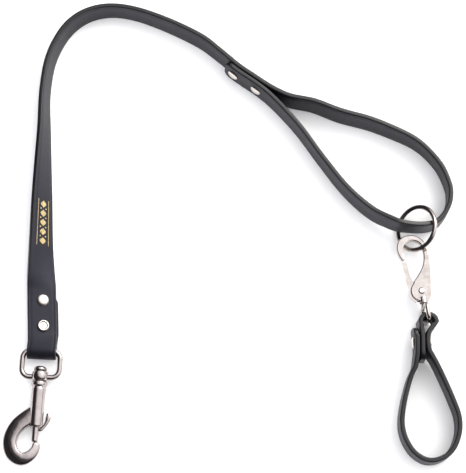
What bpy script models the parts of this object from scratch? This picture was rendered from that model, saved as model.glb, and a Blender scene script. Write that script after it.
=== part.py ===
"""Training leash: a riveted strap with a grip loop, a bolt snap, a ring, a gate clip and a finger tab.

Metres, +Z up. The leash lies on its edge on a flat surface at z = 0.
"""

import math

import bmesh
import bpy
from mathutils import Matrix, Vector

# Driving dimensions, in metres.
STRAP_WIDTH = 0.020
STRAP_THICKNESS = 0.0033
EDGE_CHAMFER = 0.0006
TIP_RADIUS = 0.005
LAYER_GAP = 0.0003
FOLD_SLACK = 0.0008
CLEARANCE = 0.0003
FLOOR_GAP = 0.0004
STATION_STEP = 0.005
TIGHT_STEP = 0.002

RIVET_CAP_RADIUS = 0.0041
RIVET_CAP_HEIGHT = 0.0013
RIVET_STEM_RADIUS = 0.0016

EYE_WIRE_RADIUS = 0.0019
EYE_SIDE_CLEARANCE = 0.0011
EYE_LENGTH = 0.0183
EYE_CORNER_RADIUS = 0.0055
HUB_RADIUS = 0.0057
HUB_LENGTH = 0.0068
STUD_RADIUS = 0.0027
STUD_HEAD_RADIUS = 0.0046
STUD_HEAD_HEIGHT = 0.0032
COLLAR_RADIUS = 0.0055
COLLAR_LENGTH = 0.0036
BARREL_RADIUS = 0.0048
BARREL_LENGTH = 0.0280
PLUNGER_RADIUS = 0.0022
PLUNGER_REACH = 0.0102
PLUNGER_TRAVEL = 0.0090
LEVER_ROOM = 0.0016
SPRING_WIRE_RADIUS = 0.00028
SPRING_TURNS = 7
HOOK_THICKNESS = 0.0064

RING_RADIUS = 0.775 * STRAP_WIDTH
USUAL_WIDTH = 0.020
RING_WIRE_RADIUS = 0.0016

CLIP_THICKNESS = 0.0044
CLIP_GATE_THICKNESS = 0.0018
CLIP_PIN_RADIUS = 0.0012
CLIP_EYE_WIRE_RADIUS = 0.0016
CLIP_EYE_LENGTH = 0.0108
CLIP_EYE_LEAD = 0.0034
CLIP_EYE_CORNER = 0.0030
CLIP_SWIVEL_X = 0.0006
CLIP_SWIVEL_END = 0.0012
CLIP_SWIVEL_RADIUS = 0.0030
CLIP_SHANK_RADIUS = 0.0012
CLIP_SHANK_HEAD_RADIUS = 0.0018
TAB_BIGHT_RADIUS = 0.0038

# Where the pieces lie on the surface.
SNAP_PLACE = (-0.1314, -0.0827)
SNAP_TURN = math.radians(-3)
RING_PLACE = (0.1278, 0.0026 + (STRAP_WIDTH - USUAL_WIDTH) / 5, 0.64 * STRAP_WIDTH)
RING_TILT = math.radians(39)
RING_HEADING = math.radians(16.5)
RING_PITCH = math.radians(14)
CLIP_PLACE = (0.1307, -0.0496)
CLIP_TURN = math.radians(8)
CLIP_PITCH = math.radians(-4)
BASE_CENTRE = (-0.0006, 0.0034)

# Worked out from the sizes above.
LAYER_STEP = STRAP_THICKNESS + LAYER_GAP
FOLD_RADIUS = EYE_WIRE_RADIUS + FOLD_SLACK + STRAP_THICKNESS / 2
SNAP_HEIGHT = max(FOLD_RADIUS + STRAP_THICKNESS / 2, COLLAR_RADIUS, HUB_RADIUS) + FLOOR_GAP
FOLD_LIFT = SNAP_HEIGHT + FOLD_RADIUS - STRAP_THICKNESS / 2
RIVET_LIFT = LAYER_STEP + RIVET_CAP_HEIGHT / 2
RING_UNDERPASS = 2 * RING_WIRE_RADIUS + 0.0014 + (STRAP_WIDTH - USUAL_WIDTH) / 8
CLIP_EYE_INSIDE = STRAP_WIDTH + 2 * CLEARANCE
CLIP_EYE_HEIGHT = CLIP_EYE_INSIDE / 2 + 2 * CLIP_EYE_WIRE_RADIUS + FLOOR_GAP
TAB_LIFT = CLIP_EYE_HEIGHT - STRAP_WIDTH / 2

# The strap's route as (x, y, lean in degrees from upright, lift off the surface).
# It runs from the bolt snap's eye up the left side, round the bend and down to the grip's joint.
SNAP_RUN = [
    (-0.1311, -0.0767, 84, (FOLD_LIFT + RIVET_LIFT) / 2),
    (-0.1314, -0.0710, 76, RIVET_LIFT),
    (-0.1317, -0.0630, 76, RIVET_LIFT),
    (-0.1321, -0.0550, 76, RIVET_LIFT),
    (-0.1324, -0.0470, 76, RIVET_LIFT),
    (-0.1327, -0.0400, 75, RIVET_LIFT),
    (-0.1332, -0.0290, 61, 0.0032),
    (-0.1338, -0.0095, 45, 0.0014),
    (-0.1341, 0.0240, 34, 0.0006),
    (-0.1341, 0.0500, 24, 0.0002),
    (-0.1340, 0.0750, 15, 0.0001),
    (-0.1342, 0.1020, 9, 0.0),
    (-0.1315, 0.1246, 7, 0.0),
    (-0.1255, 0.1410, 6, 0.0),
    (-0.1165, 0.1540, 5, 0.0),
    (-0.1040, 0.1625, 3, 0.0),
    (-0.0883, 0.1658, 2, 0.0),
    (-0.0700, 0.1632, 3, 0.0),
    (-0.0470, 0.1546, 5, 0.0),
    (-0.0236, 0.1426, 6, 0.0),
    (-0.0100, 0.1320, 5, 0.0),
    (0.0034, 0.1205, 4, 0.0),
    (0.0150, 0.1122, 4, 0.0),
    (0.0265, 0.1040, 4, 0.0),
]
GRIP_LOOP = [
    (0.0400, 0.0975, 5, 0.0),
    (0.0575, 0.0935, 6, 0.0),
    (0.0760, 0.0862, 7, 0.0),
    (0.0980, 0.0798, 6, 0.0),
    (0.1183, 0.0712, 4, 0.0),
    (0.1290, 0.0653, 2, 0.0),
    (0.1376, 0.0577, 0, 0.0),
    (0.1460, 0.0468, 0, 0.0),
    (0.1510, 0.0345, 0, 0.0),
    (0.1520, 0.0265, 0, 0.0),
    (0.1504, 0.0183, 0, 0.0),
    (0.1455, 0.0100, 0, 0.0),
    (0.1392, 0.0052, -1, 0.0004),
    (0.1290, 0.0034, -2, RING_UNDERPASS * 0.5),
    (0.1170, 0.0040, -4, RING_UNDERPASS),
    (0.1096, 0.0068, -6, RING_UNDERPASS * 0.85),
    (0.0960, 0.0147, -6, RING_UNDERPASS * 0.4),
    (0.0790, 0.0310, -4, 0.0008),
    (0.0625, 0.0530, -3, 0.0),
    (0.0480, 0.0738, -3, 0.0),
    (0.0362, 0.0880, -3, 0.0),
]
GRIP_JOINT_X = (-0.0025, 0.0262)
GRIP_RIVETS_X = (0.0034, 0.0192)
SNAP_RIVETS_Y = (-0.0655, -0.0480)
TAIL_END_Y = -0.0435
TAIL_SHIFT = 0.0018

# The finger tab, from where it leaves the clip's eye round to the left side of its rivet.
TAB_AXIS_X = 0.1290
TAB_RIVET_Y = -0.0785
TAB_TONGUE_Y = -0.0915
TAB_END_Y = -0.0685
TAB_STRAIGHT = RIVET_CAP_RADIUS + 0.0006
TAB_LOOP = [
    (0.1370, -0.0915, 0, TAB_LIFT * 0.6),
    (0.1431, -0.1042, 0, TAB_LIFT * 0.25),
    (0.1486, -0.1175, 0, 0.0003),
    (0.1523, -0.1285, 0, 0.0),
    (0.1526, -0.1384, 0, 0.0),
    (0.1498, -0.1478, 0, 0.0),
    (0.1456, -0.1538, 0, 0.0),
    (0.1396, -0.1577, 0, 0.0),
    (0.1326, -0.1590, 0, 0.0),
    (0.1260, -0.1569, 0, 0.0),
    (0.1199, -0.1514, 0, 0.0),
    (0.1152, -0.1420, 0, 0.0),
    (0.1140, -0.1320, 0, 0.0),
    (0.1160, -0.1185, 0, 0.0003),
    (0.1202, -0.1035, 0, TAB_LIFT * 0.25),
    (0.1245, -0.0935, 0, TAB_LIFT * 0.6),
]

# The bolt snap's hook in the snap's own frame: (across, down, half width).
HOOK_LINE = [
    (-0.0022, 0.0430, 0.0050),
    (-0.0066, 0.0464, 0.0053),
    (-0.0128, 0.0520, 0.0050),
    (-0.0165, 0.0590, 0.0046),
    (-0.0169, 0.0655, 0.0045),
    (-0.0142, 0.0717, 0.0045),
    (-0.0085, 0.0749, 0.0042),
    (-0.0028, 0.0728, 0.0036),
    (0.0008, 0.0682, 0.0029),
    (0.0014, 0.0640, 0.0024),
]

# The clip's frame and gate in the clip's own frame: (across, along), from its swivel to its hook.
CLIP_PIVOT = (0.0003, 0.0072)
CLIP_BACK = [
    (0.0030, -0.0012),
    (0.0062, 0.0030),
    (0.0076, 0.0110),
    (0.0090, 0.0215),
    (0.0098, 0.0330),
    (0.0092, 0.0400),
    (0.0058, 0.0450),
    (0.0020, 0.0475),
    (-0.0020, 0.0482),
    (-0.0065, 0.0472),
    (-0.0098, 0.0446),
    (-0.0115, 0.0400),
    (-0.0112, 0.0350),
    (-0.0094, 0.0303),
]
CLIP_INSIDE = [
    (-0.0073, 0.0308),
    (-0.0076, 0.0350),
    (-0.0070, 0.0392),
    (-0.0050, 0.0424),
    (-0.0012, 0.0440),
    (0.0030, 0.0428),
    (0.0056, 0.0396),
    (0.0060, 0.0320),
    (0.0040, 0.0250),
    (0.0000, 0.0190),
    (-0.0040, 0.0146),
]
CLIP_CHEEK_RADIUS = 0.0076
GATE_WIDTH = 0.0024


def linear(hex_colour):
    """The linear colour of an sRGB hex value."""
    parts = [int(hex_colour[i : i + 2], 16) / 255 for i in (1, 3, 5)]
    return [p / 12.92 if p <= 0.04045 else ((p + 0.055) / 1.055) ** 2.4 for p in parts] + [1.0]


def material(name, hex_colour, roughness, metallic):
    made = bpy.data.materials.new(name)
    made.use_nodes = True
    shader = made.node_tree.nodes["Principled BSDF"]
    shader.inputs["Base Color"].default_value = linear(hex_colour)
    shader.inputs["Roughness"].default_value = roughness
    shader.inputs["Metallic"].default_value = metallic
    return made


def coated_strap():
    return material("coated_strap", "#3E3E44", 0.45, 0.0)


def nickel_plate():
    return material("nickel_plate", "#C9C6C2", 0.12, 1.0)


def nickel_cap():
    return material("nickel_cap", "#D2CEC8", 0.22, 1.0)


def spring_wire():
    return material("spring_wire", "#9A9A9C", 0.3, 1.0)


def add_object(name, bm, finish, place=None):
    """A named object from a bmesh, with its faces pointing out."""
    bmesh.ops.recalc_face_normals(bm, faces=bm.faces)
    mesh = bpy.data.meshes.new(name)
    bm.to_mesh(mesh)
    bm.free()
    mesh.shade_smooth()
    mesh.set_sharp_from_angle(angle=math.radians(35))
    if finish:
        mesh.materials.append(finish)
    made = bpy.data.objects.new(name, mesh)
    bpy.context.collection.objects.link(made)
    if place:
        made.matrix_world = place
    return made


def cutter(made):
    made.hide_render = True
    made.display_type = "WIRE"
    return made


def combine(target, other, operation):
    """Joins another shape to the target or cuts it away, and keeps the other as a guide."""
    step = target.modifiers.new(operation.lower(), "BOOLEAN")
    step.operation = operation
    step.solver = "EXACT"
    step.object = cutter(other)


def smooth_line(points, step):
    """Even stations on a Catmull-Rom curve through the points; every value of a point is smoothed."""
    padded = [points[0]] + list(points) + [points[-1]]
    fine = []
    for a, b, c, d in zip(padded, padded[1:], padded[2:], padded[3:]):
        for i in range(24):
            t = i / 24
            fine.append(
                tuple(
                    0.5 * (2 * q + (r - p) * t + (2 * p - 5 * q + 4 * r - s) * t**2)
                    + 0.5 * (3 * q - p - 3 * r + s) * t**3
                    for p, q, r, s in zip(a, b, c, d)
                )
            )
    fine.append(tuple(points[-1]))
    along = [0.0]
    for p, q in zip(fine, fine[1:]):
        along.append(along[-1] + math.dist(p[:2], q[:2]))
    count = max(2, round(along[-1] / step))
    stations, k = [], 0
    for i in range(count + 1):
        want = along[-1] * i / count
        while k < len(along) - 2 and along[k + 1] < want:
            k += 1
        t = (want - along[k]) / max(along[k + 1] - along[k], 1e-9)
        stations.append(tuple(p + (q - p) * min(t, 1) for p, q in zip(fine[k], fine[k + 1])))
    return stations


def upright_frames(stations):
    """(centre, width direction, thickness direction) of a strap that stands on its edge with a lean."""
    frames = []
    last = len(stations) - 1
    for i, (x, y, lean, lift) in enumerate(stations):
        before, after = stations[max(i - 1, 0)], stations[min(i + 1, last)]
        run = Vector((after[0] - before[0], after[1] - before[1], 0)).normalized()
        left = Vector((-run.y, run.x, 0))
        tilt = math.radians(lean)
        across = Vector((0, 0, 1)) * math.cos(tilt) + left * math.sin(tilt)
        half = STRAP_WIDTH / 2 * abs(math.cos(tilt)) + STRAP_THICKNESS / 2 * abs(math.sin(tilt))
        frames.append((Vector((x, y, half + lift)), across, run.cross(across)))
    return frames


def tip_share(distance):
    """How wide the strap is near its end, as a share of its width, for rounded corners."""
    if distance >= TIP_RADIUS:
        return 1.0
    cut = TIP_RADIUS - math.sqrt(TIP_RADIUS**2 - (TIP_RADIUS - distance) ** 2)
    return 1 - 2 * cut / STRAP_WIDTH


def with_round_tip(frames):
    """The frames again, with extra ones near the first end that narrow to its round corners."""
    centre, across, normal = frames[0]
    heading = (frames[1][0] - centre).normalized()
    tip = []
    for k in range(5):
        distance = TIP_RADIUS * (1 - math.cos(math.radians(90) * k / 4))
        tip.append((centre + heading * distance, across * tip_share(distance), normal))
    rest = [f for f in frames[1:] if (f[0] - centre).length > TIP_RADIUS * 1.2]
    return tip + rest


def strap(name, frames, finish, origin):
    """A strap of chamfered section swept along the frames, with round corners at both ends."""
    frames = with_round_tip(frames)
    frames = with_round_tip(frames[::-1])[::-1]
    w, t, c = STRAP_WIDTH / 2, STRAP_THICKNESS / 2, EDGE_CHAMFER
    section = [(w - c, t), (w, t - c), (w, c - t), (w - c, -t), (c - w, -t), (-w, c - t), (-w, t - c), (c - w, t)]
    bm = bmesh.new()
    loops = [
        [bm.verts.new(centre + across * a + normal * b - Vector(origin)) for a, b in section]
        for centre, across, normal in frames
    ]
    skin(bm, loops)
    return add_object(name, bm, finish, Matrix.Translation(origin))


def skin(bm, loops, closed=False):
    """Quads between rings of points, and a cap at each end unless the rings close on themselves."""
    pairs = list(zip(loops, loops[1:]))
    if closed:
        pairs.append((loops[-1], loops[0]))
    for a, b in pairs:
        for i in range(len(a)):
            j = (i + 1) % len(a)
            bm.faces.new((a[i], a[j], b[j], b[i]))
    if not closed:
        bm.faces.new(loops[0][::-1])
        bm.faces.new(loops[-1])


def circle(radius, sides):
    return [
        (radius * math.cos(2 * math.pi * i / sides), radius * math.sin(2 * math.pi * i / sides))
        for i in range(sides)
    ]


def tube(bm, path, radius, sides, closed=False, up=Vector((0, 0, 1)), flat=1.0):
    """A round tube along a path; the radius may change from point to point."""
    count = len(path)
    loops = []
    for i, point in enumerate(path):
        if closed:
            before, after = path[i - 1], path[(i + 1) % count]
        else:
            before, after = path[max(i - 1, 0)], path[min(i + 1, count - 1)]
        run = (after - before).normalized()
        side = up.cross(run).normalized()
        over = run.cross(side)
        r = radius[i] if isinstance(radius, list) else radius
        tall = flat if isinstance(radius, list) else r
        ring = [point + side * a * r + over * b * tall for a, b in circle(1, sides)]
        loops.append([bm.verts.new(p) for p in ring])
    skin(bm, loops, closed)


def turned(name, profile, finish, place, sides=20):
    """A turned piece: a profile of (radius, height) spun about its own Z; radius 0 is on the axis."""
    bm = bmesh.new()
    loops = []
    for radius, height in profile:
        if radius == 0:
            loops.append([bm.verts.new((0, 0, height))])
        else:
            loops.append([bm.verts.new((x, y, height)) for x, y in circle(radius, sides)])
    closed = profile[0][0] != 0
    pairs = list(zip(loops, loops[1:]))
    if closed:
        pairs.append((loops[-1], loops[0]))
    for a, b in pairs:
        for i in range(sides):
            j = (i + 1) % sides
            if len(a) == 1:
                bm.faces.new((a[0], b[j], b[i]))
            elif len(b) == 1:
                bm.faces.new((a[i], a[j], b[0]))
            else:
                bm.faces.new((a[i], a[j], b[j], b[i]))
    return add_object(name, bm, finish, place)


def plate(name, outline, low, high, finish, place):
    """A flat outline with a thickness, from low to high along its own Z."""
    bm = bmesh.new()
    bottom = [bm.verts.new((x, y, low)) for x, y in outline]
    top = [bm.verts.new((x, y, high)) for x, y in outline]
    skin(bm, [bottom, top])
    return add_object(name, bm, finish, place)


def bar_cutter(name, radius, start, end, place, sides=16):
    """A plain cylinder from start to end in the frame of place, for joining or cutting."""
    axis = end - start
    turn = axis.to_track_quat("Z", "Y").to_matrix().to_4x4()
    profile = [(0, 0), (radius, 0), (radius, axis.length), (0, axis.length)]
    return turned(name, profile, None, place @ Matrix.Translation(start) @ turn, sides)


def axis_place(point, axis):
    """A frame at a point whose Z lies along the axis."""
    return Matrix.Translation(point) @ axis.to_track_quat("Z", "Y").to_matrix().to_4x4()


def rivet(name, low, high, axis, finish, domed):
    """A two-piece rivet through layers that end at low and high along the axis: a stem with its base, and a cap."""
    grip = (high - low).length
    r, stem, tall = RIVET_CAP_RADIUS, RIVET_STEM_RADIUS, RIVET_CAP_HEIGHT
    seat = CLEARANCE
    base = [(0, -tall - seat), (0.6 * r, -tall - seat), (0.92 * r, -0.6 * tall - seat), (r, -seat), (stem, -seat)]
    stem_end = grip + seat + 0.5 * tall
    turned(name + "_stem", base + [(stem, stem_end), (0, stem_end)], finish, axis_place(low, axis))
    socket = stem + CLEARANCE
    inside = [(0, 0.5 * tall + CLEARANCE), (socket, 0.5 * tall + CLEARANCE), (socket, 0), (r, 0)]
    if domed:
        outside = [(0.93 * r, 0.45 * tall), (0.7 * r, 0.82 * tall), (0.4 * r, tall), (0, 1.05 * tall)]
    else:
        outside = [(0.95 * r, 0.55 * tall), (0.8 * r, tall), (0.55 * r, 1.05 * tall), (0.4 * r, 0.9 * tall)]
        outside += [(0.2 * r, 0.86 * tall), (0, 0.9 * tall)]
    turned(name + "_cap", inside + outside, finish, axis_place(high + axis * seat, axis))


def nearest(frames, key, value):
    """The frame at the place where a coordinate of the centre line crosses a value."""
    for a, b in zip(frames, frames[1:]):
        p, q = a[0][key], b[0][key]
        if min(p, q) <= value <= max(p, q) and p != q:
            t = (value - p) / (q - p)
            return tuple(u.lerp(v, t) for u, v in zip(a, b))
    return min(frames, key=lambda f: abs(f[0][key] - value))


def smoothstep(t):
    t = min(max(t, 0.0), 1.0)
    return t * t * (3 - 2 * t)


def snap_place():
    return Matrix.Translation((*SNAP_PLACE, SNAP_HEIGHT)) @ Matrix.Rotation(SNAP_TURN, 4, "Z")


def fold_frames():
    """The half turn round the bar of the bolt snap's eye, from the lower layer to the upper one."""
    place = snap_place()
    centre = place.translation
    down = place.to_3x3() @ Vector((0, -1, 0))
    across = place.to_3x3() @ Vector((-1, 0, 0))
    up = Vector((0, 0, 1))
    frames = []
    for k in range(9):
        angle = math.radians(-90 + 180 * k / 8)
        out = down * math.cos(angle) + up * math.sin(angle)
        run = up * math.cos(angle) - down * math.sin(angle)
        frames.append((centre + out * FOLD_RADIUS, across, run.cross(across)))
    return frames


def main_strap_frames():
    """The whole strap: the tail under the snap rivets, the fold, the long run, the grip loop and its end."""
    place = snap_place()
    start = place @ Vector((0, 0.0005, 0))
    run = smooth_line([(start.x, start.y, 90, FOLD_LIFT)] + SNAP_RUN, STATION_STEP)
    run_frames = upright_frames(run)
    joint = [f for f in run_frames if GRIP_JOINT_X[0] <= f[0].x <= GRIP_JOINT_X[1]]
    back = [(c + n * LAYER_STEP, a, -n) for c, a, n in joint][::-1]
    first = nearest(run_frames, 0, GRIP_JOINT_X[0])
    back.append((first[0] + first[2] * LAYER_STEP, first[1], -first[2]))
    begin, end = run[-1], joint[-1][0] + joint[-1][2] * LAYER_STEP
    lean = run[-1][2]
    follow = back[1][0]
    loop_points = [run[-2], begin] + GRIP_LOOP + [(end.x, end.y, -lean, 0.0), (follow.x, follow.y, -lean, 0.0)]
    loop = smooth_line(loop_points, STATION_STEP * 0.9)
    loop_frames = upright_frames(loop)
    near_start = min(range(len(loop)), key=lambda i: math.dist(loop[i][:2], begin[:2]))
    near_end = min(range(len(loop)), key=lambda i: math.dist(loop[i][:2], (end.x, end.y)))
    free = loop_frames[near_start + 1 : near_end]
    tail = []
    bar = place.translation
    for centre, across, normal in run_frames:
        away = (Vector((centre.x, centre.y)) - Vector((bar.x, bar.y))).length
        if centre.y > TAIL_END_Y:
            break
        gap = 2 * FOLD_RADIUS + (LAYER_STEP - 2 * FOLD_RADIUS) * smoothstep(away / 0.013)
        shift = TAIL_SHIFT * smoothstep((away - 0.003) / 0.009)
        tail.append((centre - normal * gap - across * shift, across, -normal))
    return tail[::-1] + fold_frames()[1:-1] + run_frames + free + back, run_frames


def make_main_strap(finish):
    frames, run = main_strap_frames()
    made = strap("main_strap", frames, finish, (0, 0, 0))
    metal = nickel_cap()
    for name, y, domed in zip(("snap_rivet_lower", "snap_rivet_upper"), SNAP_RIVETS_Y, (False, True)):
        centre, across, normal = nearest(run, 1, y)
        across, normal = across.normalized(), normal.normalized()
        middle = centre - across * TAIL_SHIFT * 0.3
        high = middle + normal * STRAP_THICKNESS / 2
        low = middle - normal * (LAYER_STEP + STRAP_THICKNESS / 2)
        rivet(name, low, high, normal, metal, domed)
        punch(made, name + "_hole", low - normal * 0.001, high + normal * 0.001)
    joint = [f for f in run if f[0].x < GRIP_JOINT_X[1] + 0.01]
    for name, x in zip(("grip_rivet_upper", "grip_rivet_lower"), GRIP_RIVETS_X):
        centre, across, normal = nearest(joint, 0, x)
        normal = normal.normalized()
        low = centre - normal * STRAP_THICKNESS / 2
        high = centre + normal * (LAYER_STEP + STRAP_THICKNESS / 2)
        rivet(name, low, high, normal, metal, True)
        punch(made, name + "_hole", low - normal * 0.001, high + normal * 0.001)


def punch(target, name, start, end):
    hole = bar_cutter(name, RIVET_STEM_RADIUS + CLEARANCE, start, end, Matrix.Identity(4), 12)
    combine(target, hole, "DIFFERENCE")


def rounded_rectangle(half_width, length, radius, steps=4):
    """Points round a rectangle from y = 0 down to -length, with round corners."""
    points = []
    corners = ((1, -1, -90), (1, 0, 0), (-1, 0, 90), (-1, -1, 180))
    for sx, sy, start in corners:
        cx = sx * (half_width - radius)
        cy = -radius if sy == 0 else -length + radius
        for k in range(steps + 1):
            angle = math.radians(start + 90 * k / steps)
            points.append((cx + radius * math.cos(angle), cy + radius * math.sin(angle)))
    return points


def make_swivel_eye(finish):
    """The eye that the strap folds round, with the boss that the stud turns in."""
    place = snap_place()
    half = STRAP_WIDTH / 2 + EYE_SIDE_CLEARANCE + EYE_WIRE_RADIUS
    outline = rounded_rectangle(half, EYE_LENGTH, EYE_CORNER_RADIUS)
    bm = bmesh.new()
    tube(bm, [Vector((x, y, 0)) for x, y in outline], EYE_WIRE_RADIUS, 10, closed=True)
    made = add_object("swivel_eye", bm, finish, place)
    top = Vector((0, -EYE_LENGTH + HUB_LENGTH * 0.62, 0))
    bottom = Vector((0, -EYE_LENGTH - HUB_LENGTH * 0.38, 0))
    combine(made, bar_cutter("hub_solid", HUB_RADIUS, top, bottom, place, 20), "UNION")
    reach = Vector((0, 0.002, 0))
    bore = bar_cutter("hub_bore", STUD_RADIUS + CLEARANCE, top + reach, bottom - reach, place)
    combine(made, bore, "DIFFERENCE")


def along(place, distance):
    """A frame on the snap's axis whose Z points at the hook, this far from the eye's bar."""
    return place @ Matrix.Translation((0, -distance, 0)) @ Matrix.Rotation(math.radians(90), 4, "X")


def hub_ends():
    return EYE_LENGTH - HUB_LENGTH * 0.62, EYE_LENGTH + HUB_LENGTH * 0.38


def collar_start():
    return hub_ends()[1] + CLEARANCE


def barrel_end():
    return collar_start() + COLLAR_LENGTH + BARREL_LENGTH


def make_swivel_stud(finish):
    """The headed pin that holds the snap's body in the eye's boss."""
    place = snap_place()
    head_top = hub_ends()[0] - CLEARANCE - STUD_HEAD_HEIGHT
    r, tall = STUD_HEAD_RADIUS, STUD_HEAD_HEIGHT
    length = collar_start() + COLLAR_LENGTH + 0.002 - head_top
    profile = [(0, 0), (0.55 * r, 0.05 * tall), (0.85 * r, 0.3 * tall), (r, 0.65 * tall), (r, tall)]
    profile += [(STUD_RADIUS, tall), (STUD_RADIUS, length), (0, length)]
    turned("swivel_stud", profile, finish, along(place, head_top))


def make_snap_body(finish):
    """The barrel with its collar and hook, bored for the plunger and slotted for the thumb lever."""
    place = snap_place()
    start = collar_start()
    bore = PLUNGER_RADIUS + CLEARANCE
    stud = STUD_RADIUS + CLEARANCE
    floor = COLLAR_LENGTH + 0.0035
    end = barrel_end() - start
    profile = [
        (stud, 0),
        (COLLAR_RADIUS * 0.9, 0),
        (COLLAR_RADIUS, 0.0006),
        (COLLAR_RADIUS, COLLAR_LENGTH - 0.0005),
        (BARREL_RADIUS, COLLAR_LENGTH),
        (BARREL_RADIUS, end - 0.0006),
        (BARREL_RADIUS * 0.88, end),
        (bore, end),
        (bore, floor),
        (stud, floor - 0.0010),
    ]
    made = turned("snap_body", profile, finish, along(place, start), 24)
    points = smooth_line(HOOK_LINE, 0.0032)
    path = [Vector((u, -d, 0)) for u, d, w in points]
    widths = [w for u, d, w in points]
    bm = bmesh.new()
    tube(bm, path, widths, 12, flat=HOOK_THICKNESS / 2)
    hook = add_object("hook_solid", bm, None, place)
    combine(made, hook, "UNION")
    clear_bore = along(place, start + floor)
    profile = [(0, 0), (bore, 0), (bore, end), (0, end)]
    combine(made, turned("plunger_bore", profile, None, clear_bore, 24), "DIFFERENCE")
    slot = plate(
        "lever_slot",
        [
            (0, -barrel_end() - 0.001),
            (BARREL_RADIUS + 0.004, -barrel_end() - 0.001),
            (BARREL_RADIUS + 0.004, -barrel_end() + PLUNGER_TRAVEL + LEVER_ROOM),
            (0, -barrel_end() + PLUNGER_TRAVEL + LEVER_ROOM),
        ],
        -0.0015,
        0.0015,
        None,
        place,
    )
    combine(made, slot, "DIFFERENCE")


def plunger_start():
    return barrel_end() - PLUNGER_TRAVEL - 0.0035


def make_plunger(finish):
    place = snap_place()
    start = plunger_start()
    length = barrel_end() + PLUNGER_REACH - start
    r = PLUNGER_RADIUS
    profile = [(0, 0), (0.85 * r, 0), (r, 0.0003), (r, length - 0.0008), (0.7 * r, length), (0, length)]
    turned("plunger", profile, finish, along(place, start), 16)


def make_thumb_lever(finish):
    """The bent lever on the plunger's side, outside the barrel, that the thumb draws back."""
    place = snap_place()
    foot = barrel_end() + 0.0016
    points = [
        (PLUNGER_RADIUS + CLEARANCE, -foot),
        (PLUNGER_RADIUS + 0.0016, -foot + 0.0003),
        (BARREL_RADIUS + 0.0012, -foot + 0.0030),
        (BARREL_RADIUS + 0.0026, -foot + 0.0058),
        (BARREL_RADIUS + 0.0032, -foot + 0.0085),
        (BARREL_RADIUS + 0.0030, -foot + 0.0112),
    ]
    widths = [0.0010, 0.0011, 0.0011, 0.0015, 0.0019, 0.0012]
    bm = bmesh.new()
    tube(bm, [Vector((x, y, 0)) for x, y in points], widths, 8, flat=0.0011)
    add_object("thumb_lever", bm, finish, place)


def make_plunger_spring(finish):
    """The coil that pushes the plunger out, between the bore's floor and the plunger."""
    place = snap_place()
    top = collar_start() + COLLAR_LENGTH + 0.0035 + CLEARANCE + SPRING_WIRE_RADIUS
    bottom = plunger_start() - CLEARANCE - SPRING_WIRE_RADIUS
    radius = PLUNGER_RADIUS - SPRING_WIRE_RADIUS - 0.0001
    steps = SPRING_TURNS * 10
    path = []
    for i in range(steps + 1):
        angle = 2 * math.pi * i / 10
        down = top + (bottom - top) * i / steps
        path.append(Vector((radius * math.cos(angle), -down, radius * math.sin(angle))))
    bm = bmesh.new()
    tube(bm, path, SPRING_WIRE_RADIUS, 5, up=Vector((0, 1, 0)))
    add_object("plunger_spring", bm, finish, place)


def ring_place():
    """The ring's frame: its Z is the ring's own axis."""
    heading = Matrix.Rotation(RING_HEADING, 4, "Z")
    tilt = Matrix.Rotation(-RING_TILT, 4, "Y")
    pitch = Matrix.Rotation(-RING_PITCH, 4, "X")
    return Matrix.Translation(RING_PLACE) @ heading @ tilt @ pitch


def make_handle_ring(finish):
    bm = bmesh.new()
    path = [Vector((x, y, 0)) for x, y in circle(RING_RADIUS, 40)]
    tube(bm, path, RING_WIRE_RADIUS, 10, closed=True)
    add_object("handle_ring", bm, finish, ring_place())


def clip_place():
    """The clip's frame: origin at its swivel, Y along it towards the hook, Z out of its flat side."""
    turn = Matrix.Rotation(CLIP_TURN, 4, "Z") @ Matrix.Rotation(CLIP_PITCH, 4, "X")
    return Matrix.Translation((*CLIP_PLACE, CLIP_EYE_HEIGHT)) @ turn


def swivel_bar(name, radius, low, high, sides):
    """A round bar on the clip's swivel axis, from low to high along it."""
    start = Vector((CLIP_SWIVEL_X, low, 0))
    return bar_cutter(name, radius, start, Vector((CLIP_SWIVEL_X, high, 0)), clip_place(), sides)


def curved(points, step=0.0016):
    return smooth_line(points, step)


def cheek_arc(radius, start, end, steps=9):
    """Points on an arc round the gate's pivot, from one angle to another in degrees."""
    points = []
    for k in range(steps + 1):
        angle = math.radians(start + (end - start) * k / steps)
        points.append((CLIP_PIVOT[0] + radius * math.cos(angle), CLIP_PIVOT[1] + radius * math.sin(angle)))
    return points


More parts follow.
